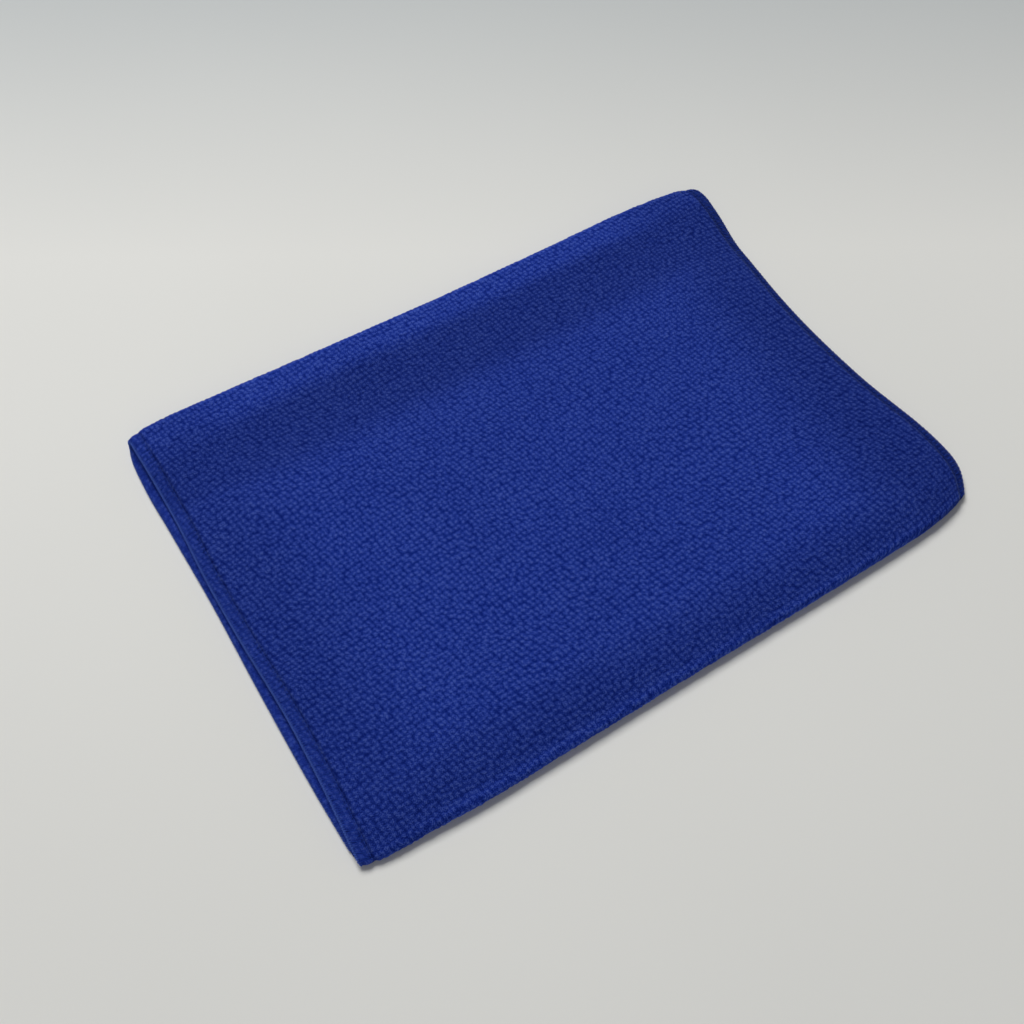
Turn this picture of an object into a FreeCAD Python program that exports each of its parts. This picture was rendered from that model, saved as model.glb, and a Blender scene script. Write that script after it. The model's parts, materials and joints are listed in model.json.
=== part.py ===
import FreeCAD, Part
import os
import Sketcher

# Microfibre polishing cloth, folded in three like a letter.
#
# One rectangle of pearl-knit cloth, cut_width by cut_length, is overlocked on all four edges and folded twice:
#   bottom flap  lies on the table, its hemmed free end near the front
#   back fold    takes it up and over to the top panel
#   top panel    the face that is seen
#   front fold   takes it under to the inner flap, which lies between the other two and stops short of the back
# X runs along the folds, Y from the front fold to the back fold, Z up. Millimetres.
# The cloth's face side is outside both folds: the top panel's upper side and both flaps' under side.
# The overlock seam has a needle thread, which is a straight row on the face side, and two looper threads, one
# over each side of the border. They meet round the raw edge. The border is pinched by the depth of the threads.

SIZES = [
    ("cut_width", "300", "cut width of the cloth, along the folds"),
    ("cut_length", "600", "cut length of the cloth, before it is folded"),
    ("cloth_thick", "2.6", "knit with its pile, lying loose"),
    ("layer_gap", "0.6", "air between two layers that lie loosely on each other"),
    ("bottom_setback", "7", "bottom flap's free end, behind the front fold's tip"),
    ("inner_setback", "50", "inner flap's free end, in front of the back fold's centre line"),
    ("hem_width", "5", "reach of the looper threads in from the finished edge"),
    ("hem_pinch", "0.6", "how deep the looper threads press into each side of the border"),
    ("edge_wrap", "0.5", "looper threads outside the raw edge"),
    ("edge_round", "0.9", "rounding of the threads' outer corner"),
    ("needle_width", "0.9", "needle thread's row"),
    ("needle_depth", "0.35", "how deep the needle thread pulls into the face side"),
    ("hinge_gap", "0.3", "room between the panels on each side of the back fold when it is laid open"),
]

doc = FreeCAD.newDocument("polishing_cloth")
sheet = doc.addObject("Spreadsheet::Sheet", "sizes")
for row, (alias, value, note) in enumerate(SIZES, start=1):
    sheet.set("A%d" % row, value)
    sheet.setAlias("A%d" % row, alias)
    sheet.set("B%d" % row, "'" + note)
doc.recompute()

# Sizes that follow from the ones above, as expressions.
WIDTH = "sizes.cut_width"
THICK = "sizes.cloth_thick"
HALF = "(sizes.cloth_thick / 2)"
PITCH = "(sizes.cloth_thick + sizes.layer_gap)"
BACK_RADIUS = PITCH
FRONT_RADIUS = "(%s / 2)" % PITCH
FRONT_CENTRE = "(%s + %s)" % (FRONT_RADIUS, HALF)
# The two flaps, the panel and the two half-circle folds add up to the cut length along the middle of the cloth.
BACK_CENTRE = (
    "((sizes.cut_length + sizes.bottom_setback + sizes.inner_setback + 2 * %s - pi * (%s + %s)) / 3)"
    % (FRONT_CENTRE, BACK_RADIUS, FRONT_RADIUS)
)
DEPTH = "(%s + %s + %s)" % (BACK_CENTRE, BACK_RADIUS, HALF)
INNER_END = "(%s - sizes.inner_setback)" % BACK_CENTRE
PANEL_END = "(%s - sizes.hinge_gap)" % BACK_CENTRE
BOTTOM_LENGTH = "(%s - sizes.bottom_setback)" % BACK_CENTRE
INNER_LENGTH = "(%s - %s)" % (INNER_END, FRONT_CENTRE)
PANEL_LENGTH = "(%s - %s)" % (PANEL_END, FRONT_CENTRE)
INNER_LEVEL = PITCH
PANEL_LEVEL = "(2 * %s)" % PITCH
BACK_AXIS_LEVEL = "(%s + %s)" % (HALF, BACK_RADIUS)
FRONT_AXIS_LEVEL = "(%s + %s + %s)" % (INNER_LEVEL, HALF, FRONT_RADIUS)

HEM = "sizes.hem_width"
WRAP = "sizes.edge_wrap"
CORE = "(%s - sizes.hem_pinch)" % HALF
NEEDLE_IN = "(sizes.hem_width + sizes.needle_width)"
NEEDLE_FLOOR = "(%s - sizes.needle_depth)" % HALF


def value_of(expression):
    return float(sheet.evalExpression(expression))


# Sections across the cloth, as (distance in from the finished edge, height above its middle towards the face).
# A corner with a third item is rounded to that radius.


def mirrored(points):
    return [("(%s - %s)" % (WIDTH, across), up, *rest) for across, up, *rest in reversed(points)]


def other_side(points):
    return [(across, "(0 - %s)" % up, *rest) for across, up, *rest in reversed(points)]


EDGE_FACE = [
    (WRAP, CORE),
    (HEM, CORE),
    (HEM, NEEDLE_FLOOR),
    (NEEDLE_IN, NEEDLE_FLOOR),
    (NEEDLE_IN, HALF),
]
EDGE_BACK = other_side([(WRAP, CORE), (HEM, CORE), (HEM, HALF)])
CLOTH = EDGE_FACE + mirrored(EDGE_FACE) + mirrored(EDGE_BACK) + EDGE_BACK
OUTER_CORNER = ("0", HALF, "sizes.edge_round")
FACE_LOOPER = [("0", "0"), OUTER_CORNER, (HEM, HALF), (HEM, CORE), (WRAP, CORE), (WRAP, "0")]
BACK_LOOPER = other_side(FACE_LOOPER)
NEEDLE = [(HEM, NEEDLE_FLOOR), (HEM, HALF), (NEEDLE_IN, HALF), (NEEDLE_IN, NEEDLE_FLOOR)]
THREADS = {
    "face_looper_thread": FACE_LOOPER,
    "back_looper_thread": BACK_LOOPER,
    "needle_thread": NEEDLE,
}


def face_up(points):
    """Section of a layer whose face side is on top, from its under side up."""
    return [(across, "(%s + %s)" % (HALF, up), *rest) for across, up, *rest in points]


def face_down(points):
    """Section of a layer whose face side is underneath, from its under side up."""
    return [(across, "(%s - %s)" % (HALF, up), *rest) for across, up, *rest in points]


def at_radius(points, radius):
    """Section of a fold, from its axis outwards to the face side."""
    return [(across, "(%s + %s)" % (radius, up), *rest) for across, up, *rest in points]


def origin_plane(body, role):
    for feature in body.Origin.OriginFeatures:
        if feature.Role == role:
            return feature
    raise RuntimeError("no origin plane " + role)


def step_towards(place, other, amount):
    """Which coordinate changes on the way to a neighbour in line with it, and by how much, as text and number."""
    axis = 1 if abs(place[0] - other[0]) < 1e-9 else 0
    sign = "+" if other[axis] > place[axis] else "-"
    return axis, sign, float(sign + str(amount))


def with_arcs(corners):
    """The outline's points, with each rounded corner as its arc's two ends. The first end carries the centre."""
    places = [(value_of(corner[0]), value_of(corner[1])) for corner in corners]
    points = []
    for index, corner in enumerate(corners):
        here = places[index]
        if len(corner) == 2:
            points.append((corner[0], corner[1], here, None))
            continue
        ends = []
        for other in (places[index - 1], places[(index + 1) % len(corners)]):
            axis, sign, move = step_towards(here, other, value_of(corner[2]))
            words = [corner[0], corner[1]]
            words[axis] = "(%s %s %s)" % (words[axis], sign, corner[2])
            spot = list(here)
            spot[axis] += move
            ends.append((words, spot))
        centre = [ends[0][1][axis] + ends[1][1][axis] - here[axis] for axis in (0, 1)]
        points.append((*ends[0][0], ends[0][1], (centre, corner[2])))
        points.append((*ends[1][0], ends[1][1], None))
    return points


def add_arc(sketch, start, end, centre):
    """A quarter circle between two ends, drawn on the side away from its centre. True if it runs anticlockwise."""
    a = FreeCAD.Vector(start[0] - centre[0], start[1] - centre[1], 0)
    b = FreeCAD.Vector(end[0] - centre[0], end[1] - centre[1], 0)
    middle = FreeCAD.Vector(centre[0], centre[1], 0)
    anticlockwise = a.cross(b).z > 0
    circle = Part.Circle(middle, FreeCAD.Vector(0, 0, 1), a.Length)
    first, last = (a, b) if anticlockwise else (b, a)
    x_axis = FreeCAD.Vector(1, 0, 0)
    begin = x_axis.getAngle(first) * (1 if first.y >= 0 else -1)
    finish = x_axis.getAngle(last) * (1 if last.y >= 0 else -1)
    sketch.addGeometry(Part.ArcOfCircle(circle, begin, finish), False)
    return anticlockwise


def add_sketch(body, name, role, corners):
    """Closed outline on one of the body's own planes. Every corner's place is bound to the sizes."""
    sketch = body.newObject("Sketcher::SketchObject", name)
    sketch.AttachmentSupport = [(origin_plane(body, role), "")]
    sketch.MapMode = "FlatFace"
    points = with_arcs(corners)
    count = len(points)
    tips = []
    for index, (_, _, spot, arc) in enumerate(points):
        following = points[(index + 1) % count][2]
        forwards = True
        if arc:
            forwards = add_arc(sketch, spot, following, arc[0])
        else:
            ends = [FreeCAD.Vector(point[0], point[1], 0) for point in (spot, following)]
            sketch.addGeometry(Part.LineSegment(*ends), False)
        tips.append((1, 2) if forwards else (2, 1))
    for index in range(count):
        nxt = (index + 1) % count
        sketch.addConstraint(Sketcher.Constraint("Coincident", index, tips[index][1], nxt, tips[nxt][0]))
    for index, (across, up, spot, arc) in enumerate(points):
        tip = tips[index][0]
        for kind, axis, expression, value in (("DistanceX", -2, across, spot[0]), ("DistanceY", -1, up, spot[1])):
            if expression == "0":
                sketch.addConstraint(Sketcher.Constraint("PointOnObject", index, tip, axis))
                continue
            number = sketch.addConstraint(Sketcher.Constraint(kind, -1, 1, index, tip, value))
            title = "%s%d" % (kind[-1].lower(), index)
            sketch.renameConstraint(number, title)
            sketch.setExpression("Constraints." + title, expression)
        if arc:
            number = sketch.addConstraint(Sketcher.Constraint("Radius", index, value_of(arc[1])))
            sketch.renameConstraint(number, "radius%d" % index)
            sketch.setExpression("Constraints.radius%d" % index, arc[1])
    return sketch


def new_body(name):
    body = doc.addObject("PartDesign::Body", name)
    body.Label = name
    return body


def place(body, across, along, level, turned=False):
    """Puts the body's own origin at a point given from the cloth's left end, front tip and under side."""
    angle = 180 if turned else 0
    rotation = FreeCAD.Rotation(FreeCAD.Vector(0, 0, 1), angle)
    base = FreeCAD.Vector(0, 0, 0)
    body.Placement = FreeCAD.Placement(base, rotation)
    body.setExpression("Placement.Base.x", "%s - %s / 2" % (across, WIDTH))
    body.setExpression("Placement.Base.y", "%s - %s / 2" % (along, DEPTH))
    body.setExpression("Placement.Base.z", level)


def pad(body, name, sketch, length, towards_plus=True):
    """Extrudes the sketch. towards_plus is the body's own +Y for an XZ sketch, and +Z for an XY sketch."""
    feature = body.newObject("PartDesign::Pad", name)
    feature.Profile = (sketch, [""])
    feature.setExpression("Length", length)
    normal_is_plus = "XY_Plane" in [f.Role for f, _ in sketch.AttachmentSupport]
    feature.Reversed = towards_plus != normal_is_plus
    doc.recompute()
    return feature


def pocket(body, name, sketch, length, reverse):
    feature = body.newObject("PartDesign::Pocket", name)
    feature.Profile = (sketch, [""])
    feature.setExpression("Length", length)
    feature.Reversed = reverse
    before = feature.BaseFeature.Shape.Volume
    doc.recompute()
    if feature.Shape.isNull() or feature.Shape.Volume > before - 1.0:
        raise RuntimeError(name + " cut nothing")
    return feature


def lies_on(edge, tests):
    """True if every end of the edge is at the given places, as {axis index: place} in the body's own frame."""
    ends = [vertex.Point for vertex in edge.Vertexes]
    return all(abs(end[axis] - where) < 1e-6 for end in ends for axis, where in tests.items())


def round_edges(body, base, wanted):
    """Rounds the threads' outer corners. wanted is a list of {axis index: place} tests."""
    names = []
    for number, edge in enumerate(base.Shape.Edges, start=1):
        if any(lies_on(edge, tests) for tests in wanted):
            names.append("Edge%d" % number)
    if len(names) < len(wanted):
        raise RuntimeError(body.Name + ": an edge to round is missing")
    feature = body.newObject("PartDesign::Fillet", body.Name + "_round")
    feature.Base = (base, names)
    feature.setExpression("Radius", "sizes.edge_round")
    doc.recompute()


def straight_thread(name, section, length, start, level, side, flip):
    """A stretch of one thread along the left or right edge, running +Y from start."""
    body = new_body(name)
    outline = section if side == "left" else mirrored(section)
    layer = face_down(outline) if flip else face_up(outline)
    sketch = add_sketch(body, name + "_section", "XZ_Plane", layer)
    pad(body, name + "_run", sketch, length)
    place(body, "0", start, level)


def turned_thread(name, section, radius, side, place_at, forwards, leg):
    """A stretch of one thread round a fold, with a straight leg that meets the panel beside a hinge."""
    body = new_body(name)
    outline = section if side == "left" else mirrored(section)
    fold(body, name, at_radius(outline, radius), forwards, leg)
    place(body, "0", *place_at)


def fold(body, name, section, forwards, leg):
    """Half a turn about the body's own X axis, bulging towards -Y if forwards, else towards +Y."""
    sketch = add_sketch(body, name + "_section", "XZ_Plane", section)
    turn = body.newObject("PartDesign::Revolution", name + "_turn")
    turn.Profile = (sketch, [""])
    turn.ReferenceAxis = (sketch, ["H_Axis"])
    turn.Angle = 180
    turn.Reversed = not forwards
    doc.recompute()
    box = turn.Shape.BoundBox
    wrong = box.YMax > 1e-3 if forwards else box.YMin < -1e-3
    if wrong:
        raise RuntimeError(name + " bulges the wrong way")
    if leg:
        pad(body, name + "_leg", sketch, leg, towards_plus=forwards)


def flap(name, length, across, along, level, turned):
    """A flap with its face side down and its hemmed free end at the body's own Y = 0."""
    body = new_body(name)
    layer = add_sketch(body, name + "_section", "XZ_Plane", face_down(CLOTH))
    pad(body, name + "_run", layer, length)
    hem_face = [("0", "0"), (NEEDLE_IN, "0"), (NEEDLE_IN, "sizes.needle_depth"), (HEM, "sizes.needle_depth")]
    hem_face += [(HEM, "sizes.hem_pinch"), (WRAP, "sizes.hem_pinch")]
    back_level = "(%s - sizes.hem_pinch)" % THICK
    hem_back = [(WRAP, back_level), (HEM, back_level), (HEM, THICK), ("0", THICK)]
    end = add_sketch(body, name + "_end_hem", "YZ_Plane", hem_face + hem_back)
    pocket(body, name + "_end", end, WIDTH, reverse=True)
    place(body, across, along, level, turned)


def end_looper(name, on_face, across, along, level, turned):
    """The looper thread over a flap's free end, closed at both corners. The body's own Z = 0 is mid-cloth."""
    body = new_body(name)
    block = [("0", "0"), (WIDTH, "0"), (WIDTH, HEM), ("0", HEM)]
    inside = "(%s - %s)" % (WIDTH, WRAP)
    hollow = [(WRAP, WRAP), (inside, WRAP), (inside, HEM), (WRAP, HEM)]
    upwards = not on_face
    outline = add_sketch(body, name + "_outline", "XY_Plane", block)
    pad(body, name + "_block", outline, HALF, towards_plus=upwards)
    core = add_sketch(body, name + "_core", "XY_Plane", hollow)
    base = pocket(body, name + "_hollow", core, CORE, reverse=upwards)
    outer = value_of(HALF) if upwards else -value_of(HALF)
    round_edges(body, base, [{1: 0.0, 2: outer}, {0: 0.0, 2: outer}, {0: value_of(WIDTH), 2: outer}])
    place(body, across, along, "%s + %s" % (level, HALF), turned)


def end_needle(name, across, along, level, turned):
    """The needle thread across a flap's free end, between the two side rows."""
    body = new_body(name)
    far = "(%s - %s)" % (WIDTH, NEEDLE_IN)
    row = [(NEEDLE_IN, HEM), (far, HEM), (far, NEEDLE_IN), (NEEDLE_IN, NEEDLE_IN)]
    outline = add_sketch(body, name + "_outline", "XY_Plane", row)
    pad(body, name + "_row", outline, "sizes.needle_depth")
    place(body, across, along, level, turned)


BOTTOM = ("0", "sizes.bottom_setback", "0", False)
INNER = (WIDTH, INNER_END, INNER_LEVEL, True)
BACK_AXIS = (BACK_CENTRE, BACK_AXIS_LEVEL)
FRONT_AXIS = (FRONT_CENTRE, FRONT_AXIS_LEVEL)

# The cloth itself.
flap("bottom_flap", BOTTOM_LENGTH, *BOTTOM)
flap("inner_flap", INNER_LENGTH, *INNER)
top = new_body("top_panel")
pad(top, "top_panel_run", add_sketch(top, "top_panel_section", "XZ_Plane", face_up(CLOTH)), PANEL_LENGTH)
place(top, "0", FRONT_CENTRE, PANEL_LEVEL)
for name, radius, axis, forwards, leg in (
    ("back_fold", BACK_RADIUS, BACK_AXIS, False, "sizes.hinge_gap"),
    ("front_fold", FRONT_RADIUS, FRONT_AXIS, True, None),
):
    turn = new_body(name)
    fold(turn, name, at_radius(CLOTH, radius), forwards, leg)
    place(turn, "0", *axis)

# The overlock threads along the two side edges, in stretches that end at the folds.
BOTTOM_START = "(sizes.bottom_setback + %s)" % HEM
STRAIGHT = [
    ("bottom_flap", "(%s - %s)" % (BOTTOM_LENGTH, HEM), BOTTOM_START, "0", True),
    ("inner_flap", "(%s - %s)" % (INNER_LENGTH, HEM), FRONT_CENTRE, INNER_LEVEL, True),
    ("top_panel", PANEL_LENGTH, FRONT_CENTRE, PANEL_LEVEL, False),
]
TURNED = [
    ("back_fold", BACK_RADIUS, BACK_AXIS, False, "sizes.hinge_gap"),
    ("front_fold", FRONT_RADIUS, FRONT_AXIS, True, None),
]
for side in ("left", "right"):
    for kind, section in THREADS.items():
        for panel, length, start, level, flip in STRAIGHT:
            name = "%s_%s_%s" % (panel, side, kind)
            straight_thread(name, section, length, start, level, side, flip)
        for panel, radius, axis, forwards, leg in TURNED:
            name = "%s_%s_%s" % (panel, side, kind)
            turned_thread(name, section, radius, side, axis, forwards, leg)

# The overlock threads over the two free ends.
for panel, spot in (("bottom_flap", BOTTOM), ("inner_flap", INNER)):
    end_looper(panel + "_end_face_looper_thread", True, *spot)
    end_looper(panel + "_end_back_looper_thread", False, *spot)
    end_needle(panel + "_end_needle_thread", *spot)

doc.recompute()

bodies = [item for item in doc.Objects if item.TypeId == "PartDesign::Body"]
for item in doc.Objects:
    for state in ("Invalid", "Error"):
        if state in item.State:
            raise RuntimeError("%s is %s" % (item.Name, state))
for body in bodies:
    shape = body.Shape
    if shape.isNull() or not shape.isValid() or len(shape.Solids) != 1:
        raise RuntimeError(body.Label + " is not one valid solid")

cut_area = value_of(WIDTH) * value_of("sizes.cut_length")
middle_run = sum(
    value_of(length) for length in (BOTTOM_LENGTH, INNER_LENGTH, PANEL_LENGTH, "sizes.hinge_gap")
) + value_of("pi * (%s + %s)" % (BACK_RADIUS, FRONT_RADIUS))
if abs(middle_run * value_of(WIDTH) - cut_area) > 1e-3 * cut_area:
    raise RuntimeError("the folded lengths do not add up to the cut length")

os.makedirs("parts", exist_ok=True)
for body in bodies:
    body.Shape.exportStep(os.path.join("parts", body.Label + ".step"))
print("%d solids, %.1f x %.1f mm folded" % (len(bodies), value_of(WIDTH), value_of(DEPTH)))
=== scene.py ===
import json
import math

import bpy
import numpy as np
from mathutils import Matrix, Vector


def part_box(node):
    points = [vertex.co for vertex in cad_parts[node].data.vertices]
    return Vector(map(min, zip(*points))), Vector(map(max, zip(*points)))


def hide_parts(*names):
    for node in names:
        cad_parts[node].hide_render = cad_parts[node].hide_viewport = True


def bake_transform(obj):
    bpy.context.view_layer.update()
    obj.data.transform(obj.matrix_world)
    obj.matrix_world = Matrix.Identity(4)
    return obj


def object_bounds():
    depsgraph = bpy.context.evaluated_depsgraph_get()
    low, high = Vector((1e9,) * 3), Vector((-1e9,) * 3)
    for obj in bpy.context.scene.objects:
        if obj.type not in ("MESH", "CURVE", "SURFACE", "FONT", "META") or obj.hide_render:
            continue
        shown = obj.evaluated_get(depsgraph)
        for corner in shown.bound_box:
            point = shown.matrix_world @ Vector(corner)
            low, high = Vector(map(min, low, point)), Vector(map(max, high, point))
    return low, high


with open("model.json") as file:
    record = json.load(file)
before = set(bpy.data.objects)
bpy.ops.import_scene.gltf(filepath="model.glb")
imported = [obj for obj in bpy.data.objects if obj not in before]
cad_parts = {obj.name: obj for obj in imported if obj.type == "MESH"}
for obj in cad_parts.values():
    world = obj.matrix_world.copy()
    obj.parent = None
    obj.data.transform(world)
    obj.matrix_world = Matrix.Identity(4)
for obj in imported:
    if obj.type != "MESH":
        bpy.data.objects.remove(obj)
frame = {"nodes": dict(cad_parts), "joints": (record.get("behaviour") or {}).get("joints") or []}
cad_low, cad_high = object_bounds()

# A microfibre polishing cloth, folded in three and laid on a table.
#
# Everything is built in the cloth's own flat coordinates and then laid in place:
#   u  distance across the cloth from its left edge
#   v  distance along the cloth from the bottom flap's end
#   n  height off the middle of the cloth, towards its face
# Lengths are in millimetres until a mesh is written.

MM = 0.001
SEED = 7


def box_mm(node):
    """Lowest and highest corner of a CAD node, in millimetres."""
    low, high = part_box(node)
    return np.array(low) / MM, np.array(high) / MM


# ---------------------------------------------------------------------------------------------
# Sizes that come from the frame
# ---------------------------------------------------------------------------------------------
bottom_low, bottom_high = box_mm("bottom_flap")
top_low, top_high = box_mm("top_panel")
inner_low, inner_high = box_mm("inner_flap")
left_low, left_high = box_mm("top_panel_left_face_looper_thread")
_, right_high = box_mm("top_panel_right_face_looper_thread")
_, front_high = box_mm("front_fold")
bottom_end_low, _ = box_mm("bottom_flap_end_face_looper_thread")
_, inner_end_high = box_mm("inner_flap_end_face_looper_thread")
hinge = frame["joints"][0]

WIDTH = right_high[0] - left_low[0]
HALF_WIDTH = WIDTH / 2
HEM = left_high[0] - left_low[0]

BOTTOM_END_Y = bottom_end_low[1]
INNER_END_Y = inner_end_high[1]
BACK_Y = hinge["pos_m"][1] / MM
FRONT_Y = front_high[1]

BOTTOM_Z = (bottom_low[2] + bottom_high[2]) / 2
TOP_Z = (top_low[2] + top_high[2]) / 2
INNER_Z = (inner_low[2] + inner_high[2]) / 2
BACK_RADIUS = (TOP_Z - BOTTOM_Z) / 2
FRONT_RADIUS = (TOP_Z - INNER_Z) / 2

BACK_ARC = math.pi * BACK_RADIUS
FRONT_ARC = math.pi * FRONT_RADIUS
BACK_START = BACK_Y - BOTTOM_END_Y
BACK_STOP = BACK_START + BACK_ARC
FRONT_START = BACK_STOP + BACK_Y - FRONT_Y
FRONT_STOP = FRONT_START + FRONT_ARC
LENGTH = FRONT_STOP + INNER_END_Y - FRONT_Y

# ---------------------------------------------------------------------------------------------
# How the real cloth lies: each list holds (place, amount) in millimetres or degrees
# ---------------------------------------------------------------------------------------------
# the top panel's side edges wander from straight, along y
RIGHT_WANDER = [(-112, 4.4), (-80, 6.0), (-30, -0.9), (20, -3.0), (65, -0.6), (94, 2.6), (103, 2.4),
                (112, -1.0)]
LEFT_WANDER = [(-112, -1.0), (-80, 0.7), (-45, 1.2), (0, -0.7), (25, -1.2), (60, -0.6), (105, -2.0),
               (112, -2.4)]
# the bottom flap's side edges, along y
BOTTOM_LEFT = [(-104, -1.2), (-78, -2.3), (-26, -3.2), (20, -3.4), (60, -4.6), (88, -5.4), (104, -4.4),
               (112, -2.4)]
BOTTOM_RIGHT = [(-104, -9.0), (-85, -6.0), (-60, -5.5), (20, -10.0), (70, -8.0), (100, -1.0), (112, -1.5)]
# the inner flap's side edges, along y
INNER_LEFT = [(-108, 0.0), (-80, 2.0), (-40, 3.0), (60, 3.0)]
INNER_RIGHT = [(-108, -8.0), (-60, -9.0), (20, -14.0), (60, -11.0)]
# the side edges' shifts fade to nothing at these places along x
LEFT_SHIFT_FROM = -40
RIGHT_SHIFT_FROM = -30
# the folds' lines wander, along x, and the cloth beside them follows: not at all at the first place along y,
# and wholly at the second
BACK_WANDER = [(-152, -1.4), (-146, 1.5), (-136, 2.7), (-110, 2.2), (-60, 0.6), (0, -0.7), (60, -1.0),
               (122, -1.3), (135, -2.4), (147, -4.6), (152, -6.0)]
BACK_WANDER_Y = (10, 100)
FRONT_WANDER = [(-152, 2.8), (-146, 0.8), (-139, 0.0), (-121, -0.5), (-100, -1.4), (-70, -1.1),
                (-20, -0.3), (90, 1.0), (115, 1.6)]
FRONT_WANDER_Y = (-30, -105)
# the front right corner is rounded: its fold is pulled back and its side edge is drawn in
CORNER_X = (112, 150)
CORNER_PULL = 5.5
CORNER_PULL_Y = (-72, -110)
CORNER_TURN = 7.5
CORNER_TURN_Y = (-84, -110)
CORNER_LIMIT = 1.1
# the top panel sinks behind the inner flap's end, along y
SINK = [(44, 0.0), (55, -0.45), (66, -1.5), (75, -1.8), (88, -1.15), (98, -0.35), (106, 0.0)]
# the layers lie closer than the frame has them: where each drop starts and is full, then how much
FRONT_DROP_Y = (-62, -100)
TOP_FOLD_Y = (-94, -109)
INNER_FOLD_Y = (-101, -109)
LEFT_DROP_X = (-112, -150)
CORNER_DROP_X = (100, 150)
CORNER_DROP_Y = (-55, -105)
TOP_FRONT_DROP = 0.7
TOP_FOLD_DROP = 2.2
TOP_LEFT_DROP = 1.5
TOP_CORNER_DROP = 0.5
INNER_FRONT_DROP = 0.5
INNER_FOLD_DROP = 2.2
INNER_LEFT_DROP = 0.55
INNER_WAVE_SHARE = 0.8
# the back left corner stands open: there the top panel keeps most of its height
LOOSE_X = (-112, -146)
LOOSE_Y = (62, 92)
LOOSE_SINK_SHARE = 0.75
LOOSE_DROP_SHARE = 0.8
# the slow waves of cloth that has been folded by hand: (height, length along x, length along y, start)
WAVES = [(0.11, 19.0, 31.0, 0.6), (0.10, 37.0, -23.0, 2.1), (0.07, 55.0, 15.0, 1.2)]
# the right edge rolls down, by this many degrees at the edge, along y
ROLL = [(-112, 20), (-88, 38), (-40, 50), (20, 58), (70, 52), (98, 34), (112, 16)]
ROLL_WIDTH = 15.0
ROLL_LIMIT = 1.1
# half the thickness of the cloth, along the distance from its edge: a tube, the stitch groove, then the pile
HEM_SHAPE = [(0.0, 0.0), (0.1, 0.42), (0.25, 0.62), (0.5, 0.82), (0.9, 1.0), (1.7, 1.14), (2.6, 1.16),
             (3.6, 1.02), (4.4, 0.72), (5.0, 0.55), (5.6, 0.72), (6.6, 1.12), (8.0, 1.27), (9.5, 1.3)]

# the pile: short tufts in rows and columns that both lean a little, each tuft pushed off its place
TUFT_PITCH = 2.2
ROW_PITCH = 2.15
COLUMN_LEAN = -0.22
ROW_LEAN = 0.10
FINE_DRIFT = 0.3
COARSE_DRIFT = 0.9
TUFT_TABLE = 401
TUFT_SHIFT = 0.19
TUFT_SLOPE = 1.3
TUFT_UNEVEN = 0.04
TUFT_DEPTH = 0.5
# the holes' depth in the hem as a share of their depth elsewhere, and the distances from the edge over which
# they get their whole depth and over which they begin
HEM_TUFT_SHARE = 0.75
FREE_PILE = (5.0, 7.5)
EDGE_PILE = (0.0, 0.9)
FIBRE_CELL = 0.75
FIBRE_HEIGHT = 0.12
HIGHEST_TUFT = 1.15

# the factor of painted light and shade on the pile's colour, which also holds a few random patches of the
# pile's own tone
# a strip is (start, full, fading from, end) or (start, full), along v for the panel and the folds, and else
# along x or y
PAINTED_LIGHT_BASE = 1.06
NAP_PATCH_CELL = 26.0
NAP_PATCHES = 0.03
ON_TOP_PANEL = (BACK_STOP - 6, BACK_STOP, FRONT_START + 3, FRONT_START + 9)
ON_FRONT_FOLD = (FRONT_START + 0.5, FRONT_START + 3, FRONT_STOP, FRONT_STOP + 3)
ON_BACK_FOLD = (BACK_START, BACK_START + 5, BACK_STOP + 6, BACK_STOP + 14)
# painted shade: strips of the top panel that slope away from the light are darker
BACK_STRIP = (48, 68, 88, 98)
BACK_STRIP_DARKER = 0.25
FRONT_STRIP = (-78, -94, -104, -109)
FRONT_STRIP_DARKER = 0.20
LEFT_STRIP = (-92, -137)
LEFT_STRIP_DARKER = 0.19
RIGHT_STRIP = (88, 134)
RIGHT_STRIP_DARKER = 0.27
# painted highlights: the folds are paler where the pile on them catches the light
FRONT_FOLD_PALER = 0.6
BACK_FOLD_PALER = 0.12
# painted shade in the stitch groove, and on the hem on the right edge, which turns away from the light
GROOVE_INSET = 5.5
GROOVE_WIDTH = 0.85
GROOVE_DARKER = 0.3
RIGHT_HEM = (6.2, 5.0)
RIGHT_HEM_DARKER = 0.3

# the cloth's grid: lines in the hems, then a step on the face, a coarser one where a layer hides it
HEM_LINES = [0.0, 0.1, 0.25, 0.5, 0.9, 1.3, 1.8, 2.3, 2.8, 3.3, 3.8, 4.2, 4.6, 5.0, 5.4, 5.8, 6.3, 6.8]
FACE_STEP = 0.55
HIDDEN_STEP = 2.4
SEEN_FROM = BACK_START - 10
BACK_SKIP = 4
FOLD_SKIP = 2
# the hem's colour fades out over these distances from the edge
HEM_BAND = (4.4, 5.6)

# the overlock threads
STITCH = 2.2
STITCH_WANDER = 0.12
STITCH_START = HEM * 0.4
END_GAP = 0.3
LEAST_INSET = 0.35
THREAD_RADIUS = 0.24
SLIM_SHARE = 0.6
THREAD_SIDES = 5
THREAD_TURNS = 2 * math.pi * np.arange(THREAD_SIDES) / THREAD_SIDES
# nearer to the edge than this the thread stands proud of the cloth, and elsewhere it is sunk in the pile
ROUND_THE_EDGE = 0.6
EDGE_SUNK = -0.1
PILE_SUNK = 0.75

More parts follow.
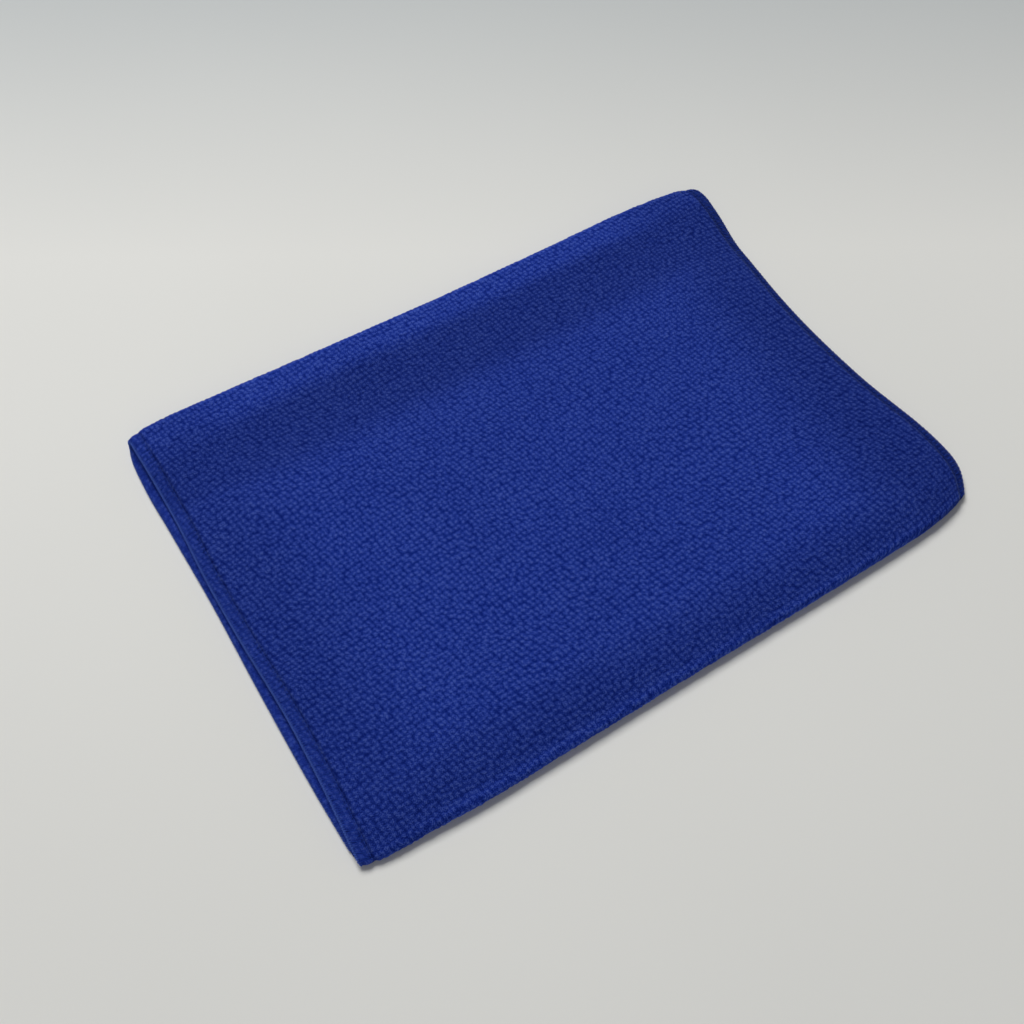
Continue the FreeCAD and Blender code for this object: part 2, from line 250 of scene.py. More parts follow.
# a stitch of each thread, as
# (distance from the edge, share of the stitch, height as a share of the cloth's half)
FACE_LOOP = [(5.0, 0.0, 1.0), (3.9, 0.06, 1.0), (2.4, 0.14, 1.0), (1.1, 0.24, 1.0), (0.2, 0.34, 1.0),
             (-0.22, 0.44, 0.2), (0.1, 0.52, -0.9), (-0.2, 0.58, -0.2), (0.25, 0.66, 1.0), (1.3, 0.76, 1.0),
             (2.7, 0.86, 1.0), (4.1, 0.94, 1.0)]
BACK_LOOP = [(5.0, 0.5, -1.0), (3.6, 0.57, -1.0), (2.0, 0.66, -1.0), (0.5, 0.76, -1.0), (-0.25, 0.84, -0.3),
             (0.0, 0.9, 0.8), (0.55, 1.0, 1.12), (0.75, 1.1, 1.12), (0.1, 1.18, 0.9), (-0.25, 1.24, -0.2),
             (0.6, 1.32, -1.0), (2.6, 1.42, -1.0)]
NEEDLE_STITCH = [(5.0, 0.0, 0.35), (5.0, 0.12, 0.9), (5.0, 0.3, 1.12), (5.0, 0.5, 1.18), (5.0, 0.7, 1.12),
                 (5.0, 0.88, 0.9)]


# ---------------------------------------------------------------------------------------------
# Curves and noise
# ---------------------------------------------------------------------------------------------
def ease(t):
    """0 below 0, 1 above 1, and smooth between."""
    t = np.clip(t, 0.0, 1.0)
    return t * t * (3 - 2 * t)


def rise(at, start, full):
    """0 before start, 1 beyond full, and smooth between. Full may lie on either side of start."""
    return ease((at - start) / (full - start))


def strip(at, start, full, fading, end):
    """1 between full and fading, 0 outside start and end, and smooth between."""
    return rise(at, start, full) * (1 - rise(at, fading, end))


def square_rise(at, start, full, limit=1.0):
    """0 before start, then growing as the square of the distance, to 1 at full or beyond it to the limit."""
    return np.clip((at - start) / (full - start), 0, limit) ** 2


def curve(points, at):
    """A smooth curve through a few (place, amount) points."""
    places, amounts = np.array(points, float).T
    slopes = np.gradient(amounts, places)
    i = np.clip(np.searchsorted(places, at) - 1, 0, len(places) - 2)
    step = places[i + 1] - places[i]
    t = np.clip((at - places[i]) / step, 0.0, 1.0)
    share = 3 * t**2 - 2 * t**3
    start_slope = (t**3 - 2 * t**2 + t) * step * slopes[i]
    stop_slope = (t**3 - t**2) * step * slopes[i + 1]
    return amounts[i] + (amounts[i + 1] - amounts[i]) * share + start_slope + stop_slope


def soft_noise(u, v, cell, seed):
    """Smooth random values from -1 to 1, with features about one cell wide."""
    random = np.random.RandomState(SEED + seed)
    grid = random.uniform(-1, 1, (int(WIDTH / cell) + 6, int(LENGTH / cell) + 6))
    along_u, along_v = u / cell + 2, v / cell + 2
    i, j = along_u.astype(int), along_v.astype(int)
    s, t = ease(along_u - i), ease(along_v - j)
    near = grid[i, j] * (1 - s) + grid[i + 1, j] * s
    far = grid[i, j + 1] * (1 - s) + grid[i + 1, j + 1] * s
    return near * (1 - t) + far * t


# ---------------------------------------------------------------------------------------------
# Where the cloth lies
# ---------------------------------------------------------------------------------------------
def folded(v):
    """The neatly folded cloth: y and z of its middle, and how far round the back and front folds it is."""
    back = np.clip((v - BACK_START) / BACK_ARC, 0, 1)
    front = np.clip((v - FRONT_START) / FRONT_ARC, 0, 1)
    y = BOTTOM_END_Y + np.minimum(v, BACK_START) + BACK_RADIUS * np.sin(math.pi * back)
    y = y - np.clip(v - BACK_STOP, 0, BACK_Y - FRONT_Y) - FRONT_RADIUS * np.sin(math.pi * front)
    y = y + np.maximum(v - FRONT_STOP, 0)
    z = BOTTOM_Z + BACK_RADIUS * (1 - np.cos(math.pi * back))
    z = z - FRONT_RADIUS * (1 - np.cos(math.pi * front))
    return y, z, back, front


def heights(x, y):
    """How much higher the top panel and the inner flap lie than in the frame. Both are mostly below 0."""
    toward_front = rise(y, *FRONT_DROP_Y)
    to_left = rise(x, *LEFT_DROP_X)
    corner = rise(x, *CORNER_DROP_X) * rise(y, *CORNER_DROP_Y)
    loose = rise(x, *LOOSE_X) * rise(y, *LOOSE_Y)
    wave = 0.0
    for height, length_x, length_y, start in WAVES:
        wave = wave + height * (np.sin(x / length_x + y / length_y + start) - 1)
    top = curve(SINK, y) * (1 - LOOSE_SINK_SHARE * loose) + wave
    top = top - TOP_FRONT_DROP * toward_front - TOP_FOLD_DROP * rise(y, *TOP_FOLD_Y)
    top = top - TOP_LEFT_DROP * to_left * (1 - LOOSE_DROP_SHARE * loose) - TOP_CORNER_DROP * corner
    inner = INNER_WAVE_SHARE * wave - INNER_FRONT_DROP * toward_front
    inner = inner - INNER_FOLD_DROP * rise(y, *INNER_FOLD_Y) - INNER_LEFT_DROP * to_left
    return top, inner


def roll(x, y):
    """How far the top panel's right edge rolls down, and how far that draws it in.

    The slope grows as the square of the distance into the roll, which gives these two sums.
    """
    angle = np.radians(curve(ROLL, y))
    k = np.clip(1 - (HALF_WIDTH - x) / ROLL_WIDTH, 0, ROLL_LIMIT)
    drop = ROLL_WIDTH * (angle * k**3 / 3 - angle**3 * k**7 / 42)
    pull = ROLL_WIDTH * (angle**2 * k**5 / 10 - angle**4 * k**9 / 216)
    return drop, pull


def edge_shift(x, y, left, right):
    """Sideways shift of a panel whose two side edges are shifted by the curves left and right."""
    to_left = rise(x, LEFT_SHIFT_FROM, -HALF_WIDTH)
    to_right = rise(x, RIGHT_SHIFT_FROM, HALF_WIDTH)
    return curve(left, y) * to_left + curve(right, y) * to_right


def middle(u, v):
    """The middle of the cloth as it lies: an array of points."""
    x = u - HALF_WIDTH
    y, z, back, front = folded(v)
    on_bottom = 1 - ease(back)
    on_inner = ease(front)
    on_top = 1 - on_bottom - on_inner
    top_height, inner_height = heights(x, y)
    roll_drop, roll_pull = roll(x, y)
    z = z + on_top * (top_height - roll_drop) + on_inner * inner_height

    corner = square_rise(x, *CORNER_X, CORNER_LIMIT)
    top_shift = edge_shift(x, y, LEFT_WANDER, RIGHT_WANDER) - roll_pull
    top_shift = top_shift - CORNER_TURN * corner * square_rise(y, *CORNER_TURN_Y)
    bottom_shift = edge_shift(x, y, BOTTOM_LEFT, BOTTOM_RIGHT)
    inner_shift = edge_shift(x, y, INNER_LEFT, INNER_RIGHT)
    shift_x = on_top * top_shift + on_bottom * bottom_shift + on_inner * inner_shift
    shift_y = curve(BACK_WANDER, x) * rise(y, *BACK_WANDER_Y)
    shift_y = shift_y + (1 - on_bottom) * curve(FRONT_WANDER, x) * rise(y, *FRONT_WANDER_Y)
    shift_y = shift_y + CORNER_PULL * corner * square_rise(y, *CORNER_PULL_Y)
    return np.stack([x + shift_x, y + shift_y, z], -1)


def place(u, v, n):
    """Points at height n off the middle of the cloth."""
    u, v, n = np.broadcast_arrays(*(np.asarray(a, float) for a in (u, v, n)))
    step = 0.05
    along_u = middle(u + step, v) - middle(u - step, v)
    along_v = middle(u, v + step) - middle(u, v - step)
    normal = np.cross(along_v, along_u)
    normal /= np.linalg.norm(normal, axis=-1, keepdims=True)
    return middle(u, v) + n[..., None] * normal


def edge_distance(u, v):
    """Distance from the nearest edge of the flat cloth."""
    return np.minimum(np.minimum(u, WIDTH - u), np.minimum(v, LENGTH - v))


# ---------------------------------------------------------------------------------------------
# The pile
# ---------------------------------------------------------------------------------------------
def drift(u, v, fine_cell, coarse_cell, seed):
    """How far the tufts' rows or columns stray, as a share of their pitch."""
    fine = soft_noise(u, v, fine_cell, seed)
    coarse = soft_noise(u, v, coarse_cell, seed + 1)
    return FINE_DRIFT * fine + COARSE_DRIFT * coarse


def pile(u, v):
    """Height of the pile, from 0 in its holes to about 1 on its tufts."""
    column = (u + COLUMN_LEAN * v) / TUFT_PITCH + drift(u, v, 9.0, 34.0, 2)
    row = (v + ROW_LEAN * u) / ROW_PITCH + drift(u, v, 11.0, 37.0, 5)
    first_column, first_row = np.floor(column).astype(int), np.floor(row).astype(int)
    random = np.random.RandomState(SEED)
    tufts = random.uniform(-1, 1, (TUFT_TABLE, TUFT_TABLE, 3))
    height = np.zeros(u.shape)
    for i in (-1, 0, 1):
        for j in (-1, 0, 1):
            tuft = tufts[(first_column + i) % TUFT_TABLE, (first_row + j) % TUFT_TABLE]
            away = column - first_column - i - 0.5 - TUFT_SHIFT * tuft[..., 0]
            beyond = row - first_row - j - 0.5 - TUFT_SHIFT * tuft[..., 1]
            top = 1 + TUFT_UNEVEN * tuft[..., 2]
            height = np.maximum(height, top - TUFT_SLOPE * np.hypot(away, beyond))
    height += FIBRE_HEIGHT * soft_noise(u, v, FIBRE_CELL, 9)
    return np.clip(height, 0, HIGHEST_TUFT)


def face_height(inset, tufts):
    """Height of the face off the cloth's middle: the hem's shape, with the pile's holes let into it."""
    depth = HEM_TUFT_SHARE + (1 - HEM_TUFT_SHARE) * rise(inset, *FREE_PILE)
    return curve(HEM_SHAPE, inset) - TUFT_DEPTH * depth * (1 - tufts) * rise(inset, *EDGE_PILE)


def painted_light(u, v):
    """Painted light and shade on the pile's colour: painted highlights on the folds, painted shade in strips
    beside them, at the sides, on the right hem and in the hem groove.
    """
    point = middle(u, v)
    x, y = point[..., 0], point[..., 1]
    on_top = strip(v, *ON_TOP_PANEL)
    darker = BACK_STRIP_DARKER * strip(y, *BACK_STRIP)
    darker = np.maximum(darker, FRONT_STRIP_DARKER * strip(y, *FRONT_STRIP))
    darker = np.maximum(darker, LEFT_STRIP_DARKER * rise(x, *LEFT_STRIP))
    darker = np.maximum(darker, RIGHT_STRIP_DARKER * rise(x, *RIGHT_STRIP))
    shade = PAINTED_LIGHT_BASE + NAP_PATCHES * soft_noise(u, v, NAP_PATCH_CELL, 10)
    shade += FRONT_FOLD_PALER * strip(v, *ON_FRONT_FOLD) + BACK_FOLD_PALER * strip(v, *ON_BACK_FOLD)
    shade -= on_top * darker
    shade -= GROOVE_DARKER * np.exp(-((edge_distance(u, v) - GROOVE_INSET) / GROOVE_WIDTH) ** 2)
    shade -= RIGHT_HEM_DARKER * on_top * rise(WIDTH - u, *RIGHT_HEM)
    return shade


# ---------------------------------------------------------------------------------------------
# Meshes
# ---------------------------------------------------------------------------------------------
def new_mesh(name, points, quads, polygons=()):
    """A smooth mesh object from points in millimetres, an array of quads and a few larger polygons."""
    corners = [quads.ravel()] + [np.array(p) for p in polygons]
    sizes = np.concatenate([np.full(len(quads), 4), np.array([len(p) for p in polygons], int)])
    starts = np.concatenate([[0], np.cumsum(sizes)[:-1]])
    loops = np.concatenate(corners)
    mesh = bpy.data.meshes.new(name)
    mesh.vertices.add(len(points))
    mesh.vertices.foreach_set("co", (points * MM).astype(np.float32).ravel())
    mesh.loops.add(len(loops))
    mesh.loops.foreach_set("vertex_index", loops.astype(np.int32))
    mesh.polygons.add(len(sizes))
    mesh.polygons.foreach_set("loop_start", starts.astype(np.int32))
    mesh.update(calc_edges=True)
    mesh.validate()
    mesh.shade_smooth()
    piece = bpy.data.objects.new(name, mesh)
    bpy.context.scene.collection.objects.link(piece)
    return piece


def add_values(piece, name, values):
    """A number or a vector for every vertex, for the material to read."""
    kind, field = ("FLOAT", "value") if values.ndim == 1 else ("FLOAT_VECTOR", "vector")
    attribute = piece.data.attributes.new(name, kind, "POINT")
    attribute.data.foreach_set(field, values.astype(np.float32).ravel())


def bend_at_back_fold(piece):
    """Bakes the piece's placement into its points."""
    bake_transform(piece)


# ---------------------------------------------------------------------------------------------
# The cloth
# ---------------------------------------------------------------------------------------------
def evenly(start, stop, step):
    """Places from start to stop, both left out, about step apart."""
    count = max(2, int(round((stop - start) / step)))
    return list(np.linspace(start, stop, count + 1)[1:-1])


def with_hems(lines, length):
    """Grid lines with the hems' own lines added at both ends."""
    return np.array(HEM_LINES + lines + [length - s for s in reversed(HEM_LINES)])


def face_lines():
    """The grid lines of the cloth's face, across the cloth and along it."""
    hem = HEM_LINES[-1]
    across = evenly(hem, WIDTH - hem, FACE_STEP)
    hidden = evenly(hem, SEEN_FROM, HIDDEN_STEP)
    seen = [SEEN_FROM] + evenly(SEEN_FROM, LENGTH - hem, FACE_STEP)
    return with_hems(across, WIDTH), with_hems(hidden + seen, LENGTH)


def back_skip(at):
    """The back keeps one in this many of the face's lines along the cloth."""
    in_back_fold = BACK_START - 4 < at < BACK_STOP + 4
    in_front_fold = FRONT_START - 2 < at < FRONT_STOP + 2
    if at < SEEN_FROM:
        return 1
    return FOLD_SKIP if in_back_fold or in_front_fold else BACK_SKIP


def kept_lines(lines, skip):
    """Which of the face's lines the back keeps: every line in the hems, and one in skip elsewhere."""
    hem = len(HEM_LINES)
    return [i for i, at in enumerate(lines) if i < hem or i >= len(lines) - hem or i % skip(at) == 0]


def grid_quads(index):
    """The quads of a grid of point numbers. They face the other way when the grid is transposed."""
    return np.stack([index[:-1, :-1], index[:-1, 1:], index[1:, 1:], index[1:, :-1]], -1).reshape(-1, 4)


def border_polygons(face, back, back_u, back_v):
    """The back's outermost cells, which take in every border point of the finer face."""
    polygons = []
    last_a, last_b = len(back_u) - 2, len(back_v) - 2
    cells = [(a, b) for a in (0, last_a) for b in range(last_b + 1)]
    cells += [(a, b) for a in range(1, last_a) for b in (0, last_b)]
    for a, b in cells:
        u0, u1, v0, v1 = back_u[a], back_u[a + 1], back_v[b], back_v[b + 1]
        low = [face[i, v0] for i in range(u0, u1)] if b == 0 else [back[a, b]]
        right = [face[u1, j] for j in range(v0, v1)] if a == last_a else [back[a + 1, b]]
        high = [face[i, v1] for i in range(u1, u0, -1)] if b == last_b else [back[a + 1, b + 1]]
        left = [face[u0, j] for j in range(v1, v0, -1)] if a == 0 else [back[a, b + 1]]
        polygons.append(low + right + high + left)
    return polygons


def build_cloth():
    """The cloth: its face carries every tuft, and its back is a coarser grid that joins it at the edges."""
    u_lines, v_lines = face_lines()
    u, v = np.meshgrid(u_lines, v_lines, indexing="ij")
    tufts = pile(u, v)
    face_points = place(u, v, face_height(edge_distance(u, v), tufts))
    face = np.arange(u.size).reshape(u.shape)

    back_u = kept_lines(u_lines, lambda at: BACK_SKIP)
    back_v = kept_lines(v_lines, back_skip)
    back = face[np.ix_(back_u, back_v)].copy()
    inside = np.zeros(back.shape, bool)
    inside[1:-1, 1:-1] = True
    back[inside] = u.size + np.arange(inside.sum())
    inner_u, inner_v = (a[inside] for a in np.meshgrid(u_lines[back_u], v_lines[back_v], indexing="ij"))
    back_points = place(inner_u, inner_v, -curve(HEM_SHAPE, edge_distance(inner_u, inner_v)))

    points = np.concatenate([face_points.reshape(-1, 3), back_points])
    quads = np.concatenate([grid_quads(face), grid_quads(back[1:-1, 1:-1].T)])
    piece = new_mesh("cloth", points, quads, border_polygons(face, back, back_u, back_v))
    all_u = np.concatenate([u.ravel(), inner_u])
    all_v = np.concatenate([v.ravel(), inner_v])
    is_face = np.concatenate([np.ones(u.size), np.zeros(inner_u.size)])
    add_values(piece, "pile", np.concatenate([tufts.ravel(), np.full(inner_u.size, 0.5)]))
    add_values(piece, "face_side", is_face)
    add_values(piece, "hem", 1 - rise(edge_distance(all_u, all_v), *HEM_BAND))
    # the face's colour gets the factor of painted light and shade, the back's none
    add_values(piece, "painted_light", np.where(is_face > 0.5, painted_light(all_u, all_v), 1.0))
    add_values(piece, "cloth_place", np.stack([all_u, all_v, is_face * 50], -1))
    return piece, all_v


# ---------------------------------------------------------------------------------------------
# The threads
# ---------------------------------------------------------------------------------------------
def edges():
    """The four edges: length, and how (distance from the edge, distance along it) becomes (u, v)."""
    return [
        (LENGTH, lambda s, t: (s, t)),
        (LENGTH, lambda s, t: (WIDTH - s, t)),
        (WIDTH, lambda s, t: (t, s)),
        (WIDTH, lambda s, t: (t, LENGTH - s)),
    ]


def stitch_path(stitch, length, random):
    """A thread's centre line along one edge: distance from the edge, distance along it and height."""
    inset, share, lift = np.array(stitch, float).T
    stitches = int((length - 2 * STITCH_START) / STITCH)
    pitch = (length - 2 * STITCH_START) / stitches
    wander = random.uniform(-STITCH_WANDER, STITCH_WANDER, (stitches, 1))
    s = (inset[None, :] + wander * (inset[None, :] > 1)).ravel()
    t = (STITCH_START + pitch * (np.arange(stitches)[:, None] + share[None, :])).ravel()
    t = np.clip(t, END_GAP, length - END_GAP)
    half = curve(HEM_SHAPE, np.maximum(s, LEAST_INSET))
    sunk = THREAD_RADIUS * np.where(s < ROUND_THE_EDGE, EDGE_SUNK, PILE_SUNK)
    return s, t, np.tile(lift, stitches) * (half - sunk)


def tube(centre, guide, radius):
    """Rings of points round a line. The guide is a direction across the line at each point."""
    tangent = np.gradient(centre, axis=0)
    tangent /= np.linalg.norm(tangent, axis=1, keepdims=True)
    side = guide - tangent * (guide * tangent).sum(1, keepdims=True)
    side /= np.linalg.norm(side, axis=1, keepdims=True)
    other = np.cross(tangent, side)
    cosine, sine = np.cos(THREAD_TURNS)[None, :, None], np.sin(THREAD_TURNS)[None, :, None]
    ring = side[:, None] * cosine + other[:, None] * sine
    return centre[:, None] + radius[:, None, None] * ring


def build_thread(name, stitch, seed):
    """One thread along all four edges: a tube that repeats the stitch, slimmer where it lies in the pile."""
    random = np.random.RandomState(seed)
    is_row = np.ptp([inset for inset, _, _ in stitch]) < 0.5
    step_s, step_t = (0.2, 0.0) if is_row else (0.0, 0.2)
    points, quads, caps, yarn, places, outer = [], [], [], [], [], []
    count = 0
    for length, to_cloth in edges():
        s, t, n = stitch_path(stitch, length, random)
        u, v = to_cloth(s, t)
        centre = place(u, v, n)
        guide = place(*to_cloth(s + step_s, t + step_t), n) - place(*to_cloth(s - step_s, t - step_t), n)
        radius = THREAD_RADIUS * np.where(s < ROUND_THE_EDGE, 1.0, SLIM_SHARE)
        points.append(tube(centre, guide, radius).reshape(-1, 3))
        along = np.concatenate([[0], np.cumsum(np.linalg.norm(np.diff(centre, axis=0), axis=1))])
        on_yarn = np.broadcast_arrays(along[:, None], THREAD_TURNS[None, :], 0.0)
        yarn.append(np.stack(on_yarn, -1).reshape(-1, 3))
        places.append(np.repeat(v, THREAD_SIDES))
        outer.append(np.repeat(1 - rise(s, *EDGE_PILE), THREAD_SIDES))
        index = count + np.arange(len(centre) * THREAD_SIDES).reshape(-1, THREAD_SIDES)
        after = np.roll(index, -1, axis=1)
        quads.append(np.stack([index[:-1], after[:-1], after[1:], index[1:]], -1).reshape(-1, 4))
        caps += [list(index[0][::-1]), list(index[-1])]
        count += index.size
    piece = new_mesh(name, np.concatenate(points), np.concatenate(quads), caps)
    add_values(piece, "yarn", np.concatenate(yarn))
    add_values(piece, "at_edge", np.concatenate(outer))
    return piece, np.concatenate(places)


# ---------------------------------------------------------------------------------------------
# Materials
# ---------------------------------------------------------------------------------------------
# the cloth, from the bottom of the pile's holes, darkened as painted shade, to its tips, paled as a painted
# highlight, and the hem
VALLEY_SHADE = (0.0026, 0.0125, 0.156, 1)
PILE = (0.0132, 0.0365, 0.284, 1)
TIP_HIGHLIGHT = (0.0530, 0.0940, 0.392, 1)
HEM_BLUE = (0.0170, 0.0410, 0.300, 1)
SHEEN_BLUE = (0.28, 0.40, 0.85, 1)
# each thread colour is (between the plies, on the plies): between the plies it is darker as painted shade,
# and where the thread runs round the very edge it is paler as a painted highlight where the bead catches the
# light
THREAD_IN_PILE = ((0.0090, 0.0330, 0.260, 1), (0.0190, 0.0500, 0.350, 1))
THREAD_EDGE_HIGHLIGHT = ((0.0400, 0.0900, 0.430, 1), (0.0950, 0.1750, 0.640, 1))
TABLE_DARK = (0.775, 0.775, 0.750, 1)
TABLE_PALE = (0.800, 0.800, 0.775, 1)
# painted shade: the table's colour is multiplied from near to far, greyer where the light falls off
TABLE_NEAR = (1.0, 1.0, 1.0, 1)
TABLE_FAR = (0.66, 0.69, 0.72, 1)


class Nodes:
    """A short way to write a node material."""

    def __init__(self, name):
        self.material = bpy.data.materials.new(name)
        self.material.use_nodes = True
        self.tree = self.material.node_tree
        self.shader = self.tree.nodes["Principled BSDF"]

    def add(self, kind, inputs=None, **settings):
        node = self.tree.nodes.new("ShaderNode" + kind)
        for key, value in settings.items():
            setattr(node, key, value)
        for key, value in (inputs or {}).items():
            self.put(node.inputs[key], value)
        return node

    def put(self, socket, value):
        if isinstance(value, bpy.types.NodeSocket):
            self.tree.links.new(value, socket)
        else:
            socket.default_value = value

    def shade(self, **values):
        """Set or link the shader's sockets. An underscore stands for a space in a socket's name."""
        for key, value in values.items():
            self.put(self.shader.inputs[key.replace("_", " ")], value)

    def value(self, name, output="Fac"):
        return self.add("Attribute", attribute_name=name).outputs[output]

    def math(self, operation, *values):
        return self.add("Math", dict(enumerate(values)), operation=operation).outputs[0]

    def vary(self, factor, amount, base):
        """The base, moved up or down by the factor's distance from a half, times the amount."""
        return self.math("MULTIPLY_ADD", self.math("SUBTRACT", factor, 0.5), amount, base)

    def times(self, first, second):
        return self.add("VectorMath", {0: first, 1: second}, operation="MULTIPLY").outputs[0]

    def split(self, vector):
        return self.add("SeparateXYZ", {"Vector": vector}).outputs

    def mix(self, factor, first, second):
        node = self.add("Mix", data_type="RGBA")
        self.put(node.inputs[0], factor)
        self.put(node.inputs[6], first)
        self.put(node.inputs[7], second)
        return node.outputs[2]

    def ramp(self, factor, stops):
        node = self.add("ValToRGB", {"Fac": factor})
        elements = node.color_ramp.elements
        while len(elements) < len(stops):
            elements.new(0.5)
        for element, (position, colour) in zip(elements, stops):
            element.position = position
            element.color = colour
        return node.outputs["Color"]

    def noise(self, vector, scale, detail):
        inputs = {"Vector": vector, "Scale": scale, "Detail": detail}
        return self.add("TexNoise", inputs).outputs["Fac"]

    def bump(self, height, distance, strength=1.0, normal=None):
        inputs = {"Height": height, "Distance": distance, "Strength": strength}
        if normal is not None:
            inputs["Normal"] = normal
        return self.add("Bump", inputs).outputs["Normal"]


def back_tufts(m, where):
    """The tufts of the cloth's back, which has none in its mesh."""
    across, along, _ = m.split(where)
    row = m.math("DIVIDE", along, ROW_PITCH)
    column = m.math("DIVIDE", across, TUFT_PITCH)
    lattice = m.add("CombineXYZ", {"X": column, "Y": row, "Z": 0.0})
    loops = m.add("TexVoronoi", {"Vector": lattice.outputs[0], "Scale": 1.0, "Randomness": 0.6})
    return m.math("SUBTRACT", 1.0, m.math("MULTIPLY", loops.outputs["Distance"], 1.1))


def cloth_material():
    """Blue microfibre pile: tips paled as a painted highlight, valleys darkened as painted shade, fine
    fibres and a soft sheen.
    """
    m = Nodes("blue_microfibre")
    where = m.value("cloth_place", "Vector")
    on_face = m.value("face_side")
    pile_face = m.math("MULTIPLY", m.value("pile"), on_face)
    pile_back = m.math("MULTIPLY", back_tufts(m, where), m.math("SUBTRACT", 1.0, on_face))
    fibres = m.noise(where, 2.1, 0.0)
    patches = m.noise(where, 0.045, 2.0)
    tone = m.vary(patches, 0.12, m.vary(fibres, 1.3, m.math("ADD", pile_face, pile_back)))
    # the pile's holes are darkened as painted shade and its tips paled as a painted highlight
    colour = m.ramp(tone, [(0.12, VALLEY_SHADE), (0.55, PILE), (1.0, TIP_HIGHLIGHT)])
    hem = m.math("MULTIPLY", m.value("hem"), 0.3)
    # the colour is multiplied by the factor of painted light and shade
    m.shade(Base_Color=m.times(m.mix(hem, colour, HEM_BLUE), m.value("painted_light")))
    m.shade(Roughness=m.math("MULTIPLY_ADD", fibres, 0.12, 0.82))
    m.shade(Specular_IOR_Level=0.04, Sheen_Weight=0.45, Sheen_Roughness=0.3, Sheen_Tint=SHEEN_BLUE)
    m.shade(Normal=m.bump(fibres, 0.00025, 0.8, m.bump(pile_back, 0.0004)))
    return m.material


def thread_material():
    """Textured polyester yarn: a twist of plies with painted shade in the lines between them, paled as a
    painted highlight where it runs round the edge.
    """
    m = Nodes("blue_sewing_thread")
    yarn = m.value("yarn", "Vector")
    along, turn, _ = m.split(yarn)
    twist = m.math("MULTIPLY_ADD", along, 9.0, m.math("MULTIPLY", turn, 2.0))
    plies = m.math("MULTIPLY_ADD", m.math("SINE", twist), 0.5, 0.5)
    fuzz = m.noise(yarn, 3.0, 2.0)
    tone = m.vary(fuzz, 0.5, plies)
    in_pile = m.ramp(tone, list(zip((0.1, 0.9), THREAD_IN_PILE)))
    at_edge = m.ramp(tone, list(zip((0.1, 0.9), THREAD_EDGE_HIGHLIGHT)))
    # the thread round the edge is paled as a painted highlight
    m.shade(Base_Color=m.mix(m.value("at_edge"), in_pile, at_edge))
    m.shade(Roughness=m.math("MULTIPLY_ADD", fuzz, 0.2, 0.55))
    m.shade(Specular_IOR_Level=0.0, Sheen_Weight=0.1, Sheen_Tint=SHEEN_BLUE)
    m.shade(Normal=m.bump(plies, 0.00006))
    return m.material


def floor_material():
    """A plain pale table top, a little greyer beyond the cloth's back right corner as painted shade where
    the light falls off.
    """
    m = Nodes("pale_table")
    where = m.add("TexCoord").outputs["Object"]
    x, y, _ = m.split(where)
    # painted shade: greyer further beyond the cloth's back right corner
    beyond = m.math("MULTIPLY_ADD", x, 0.5, m.math("MULTIPLY", y, 0.86))
    far = m.ramp(beyond, [(0.13, TABLE_NEAR), (0.33, TABLE_FAR)])
    tone = m.ramp(m.noise(where, 3.0, 2.0), [(0.3, TABLE_DARK), (0.7, TABLE_PALE)])
    m.shade(Base_Color=m.times(tone, far), Roughness=0.6, Specular_IOR_Level=0.2)
    return m.material


# ---------------------------------------------------------------------------------------------
# Stage: floor, light and camera, in metres and degrees
# ---------------------------------------------------------------------------------------------
FLOOR_SIDE = 6.0
CAMERA_AZIMUTH = -31.2
CAMERA_ELEVATION = 60.24
CAMERA_DISTANCE = 0.5202
CAMERA_LENS = 42.2
CAMERA_SENSOR = 36.0
CAMERA_AIM = (-0.02415, -0.00694)
KEY_FROM = (0.10, 1.62, 2.30)
KEY_SIZE = 1.4
KEY_WATTS = 66.0
KEY_COLOUR = (1.0, 0.995, 0.98)
FILL_FROM = (-0.60, -1.10, 0.90)
FILL_SIZE = 0.9
FILL_WATTS = 1.6
FILL_COLOUR = (0.97, 0.985, 1.0)
# the studio walls: brightness, and the height of the direction (0 level, 1 straight up) where it holds
WALL_COLOUR = (0.97, 0.985, 1.0)
HORIZON = 0.56
HORIZON_HEIGHT = 0.05
SKY = 0.13
SKY_HEIGHT = 0.38


def add_floor():
    """A square table top at the height of the object's lowest point."""
    corners = np.array([[-1, -1], [1, -1], [1, 1], [-1, 1]]) * FLOOR_SIDE / 2 / MM
    points = np.column_stack([corners, np.full(4, cad_low.z / MM)])
    floor = new_mesh("table_top", points, np.array([[0, 1, 2, 3]]))
    floor.data.materials.append(floor_material())


def add_area(name, where, size, watts, colour):
    """A square soft light, aimed at the middle of the object."""
    data = bpy.data.lights.new(name, "AREA")
    data.size = size
    data.energy = watts
    data.color = colour
    light = bpy.data.objects.new(name, data)
    light.location = Vector(where)
    aim = (cad_low + cad_high) / 2 - light.location
    light.rotation_mode = "QUATERNION"
    light.rotation_quaternion = aim.to_track_quat("-Z", "Y")
    bpy.context.scene.collection.objects.link(light)


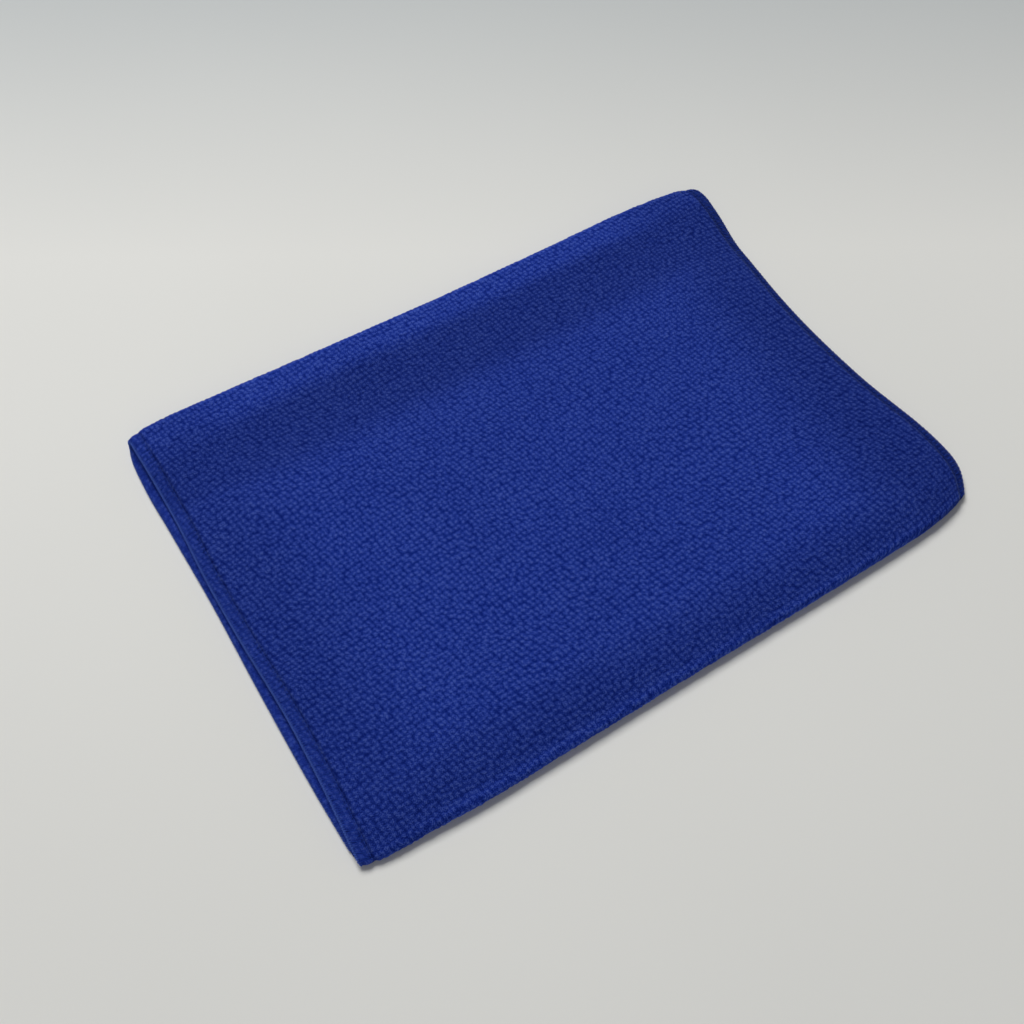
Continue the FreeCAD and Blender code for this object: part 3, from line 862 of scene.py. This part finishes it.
def add_world():
    """Studio walls: pale all around at the horizon, dimmer overhead."""
    world = bpy.data.worlds.new("studio")
    world.use_nodes = True
    tree = world.node_tree
    direction = tree.nodes.new("ShaderNodeTexCoord")
    split = tree.nodes.new("ShaderNodeSeparateXYZ")
    ramp = tree.nodes.new("ShaderNodeValToRGB")
    tree.links.new(direction.outputs["Generated"], split.inputs[0])
    tree.links.new(split.outputs[2], ramp.inputs["Fac"])
    tree.links.new(ramp.outputs["Color"], tree.nodes["Background"].inputs["Color"])
    stops = [(HORIZON_HEIGHT, HORIZON), (SKY_HEIGHT, SKY)]
    for element, (height, level) in zip(ramp.color_ramp.elements, stops):
        element.position = height
        element.color = [channel * level for channel in WALL_COLOUR] + [1]
    bpy.context.scene.world = world


def add_camera():
    """The photograph's camera: its direction, its distance and the point on the table that it looks at."""
    a, e = math.radians(CAMERA_AZIMUTH), math.radians(CAMERA_ELEVATION)
    back = Vector((math.sin(a) * math.cos(e), -math.cos(a) * math.cos(e), math.sin(e)))
    centre = (cad_low + cad_high) / 2
    target = Vector((centre.x + CAMERA_AIM[0], centre.y + CAMERA_AIM[1], cad_low.z))
    data = bpy.data.cameras.new("camera")
    data.lens = CAMERA_LENS
    data.sensor_width = CAMERA_SENSOR
    camera = bpy.data.objects.new("camera", data)
    camera.location = target + back * CAMERA_DISTANCE
    camera.rotation_mode = "QUATERNION"
    camera.rotation_quaternion = (-back).to_track_quat("-Z", "Y")
    bpy.context.scene.collection.objects.link(camera)
    bpy.context.scene.camera = camera


# ---------------------------------------------------------------------------------------------
# The object
# ---------------------------------------------------------------------------------------------
cloth, cloth_v = build_cloth()
cloth.data.materials.append(cloth_material())
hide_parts("bottom_flap", "back_fold", "top_panel", "front_fold", "inner_flap")
bend_at_back_fold(cloth)

threads = []
yarn_material = thread_material()
stitches = {"face_looper_thread": FACE_LOOP, "back_looper_thread": BACK_LOOP, "needle_thread": NEEDLE_STITCH}
for kind, stitch in stitches.items():
    thread, thread_v = build_thread(kind, stitch, SEED + len(threads))
    thread.data.materials.append(yarn_material)
    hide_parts(*[node for node in frame["nodes"] if node.endswith(kind)])
    bend_at_back_fold(thread)
    threads.append(thread)

add_floor()
add_area("key_light", KEY_FROM, KEY_SIZE, KEY_WATTS, KEY_COLOUR)
add_area("fill_light", FILL_FROM, FILL_SIZE, FILL_WATTS, FILL_COLOUR)
add_world()
add_camera()
bpy.context.scene.view_settings.view_transform = "Standard"
